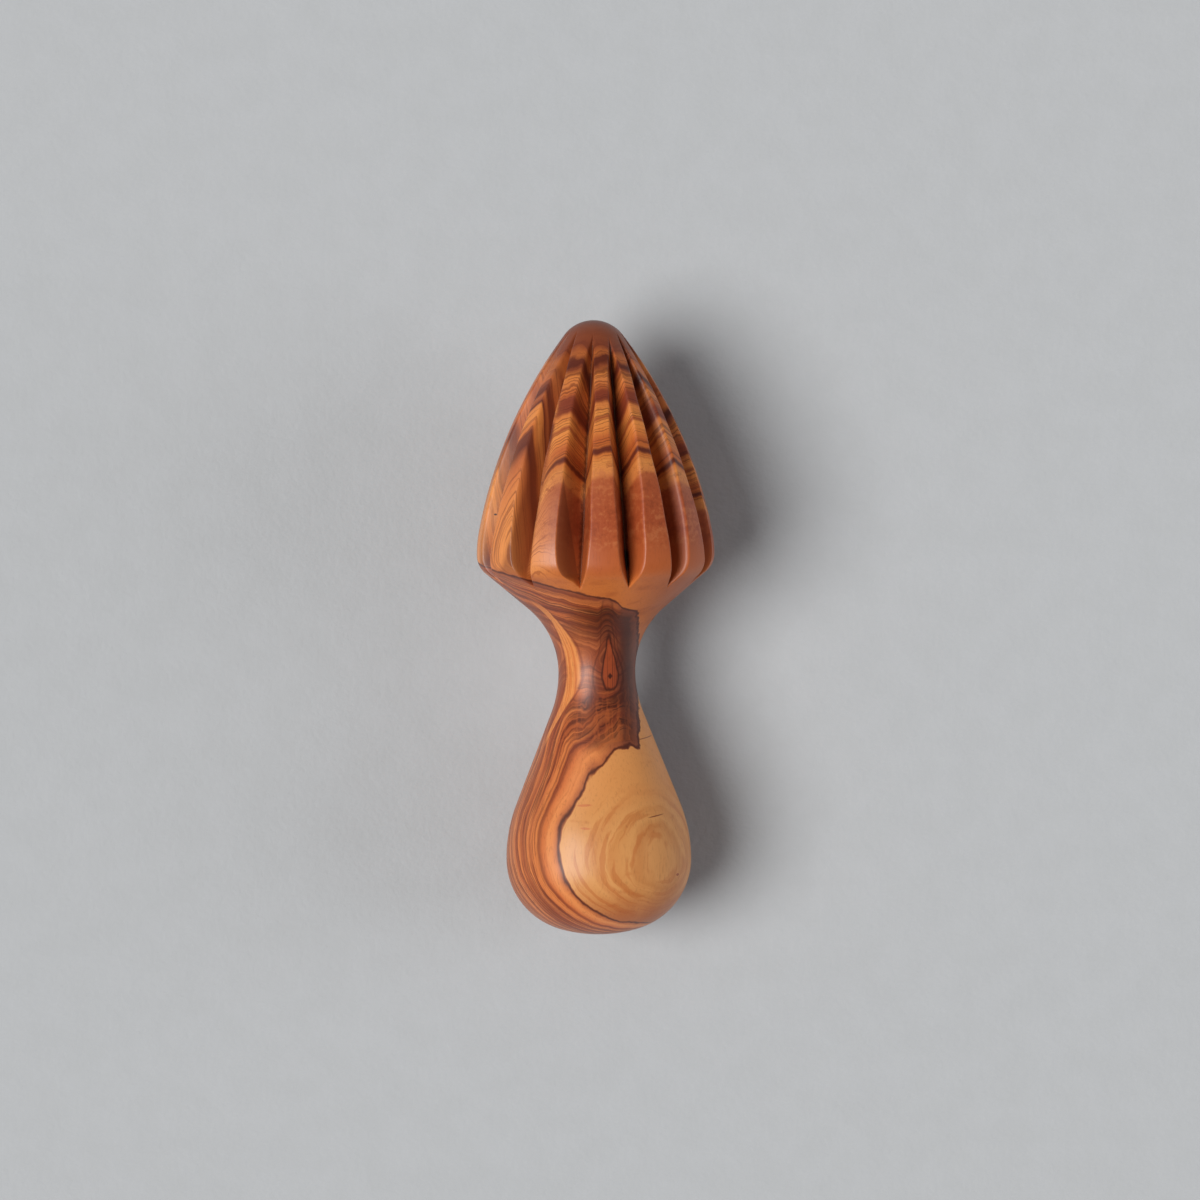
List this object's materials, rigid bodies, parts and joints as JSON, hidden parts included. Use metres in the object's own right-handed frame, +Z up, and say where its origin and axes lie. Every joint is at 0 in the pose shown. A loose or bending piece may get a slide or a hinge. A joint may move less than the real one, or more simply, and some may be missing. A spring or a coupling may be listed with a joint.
{
  "type": "wooden citrus reamer",
  "caption": "Hand reamer turned from one piece of wood: a pointed head with V-cut juice grooves, a narrow neck and a pear-shaped grip, lying on its side.",
  "frame": {"origin": "middle of the box that holds the reamer, on the surface it lies on", "axes": "+Y towards the tip of the head, which is raised by about 4.7 degrees, +Z up, +X to the right seen from above with the tip pointing away"},
  "size_m": [0.054, 0.1396, 0.0538],
  "materials": {
    "olive_wood": "oiled satin olive wood with dark heartwood streaks"
  },
  "bodies": {
    "root": {"reamer": "olive_wood"}
  },
  "joints": []
}
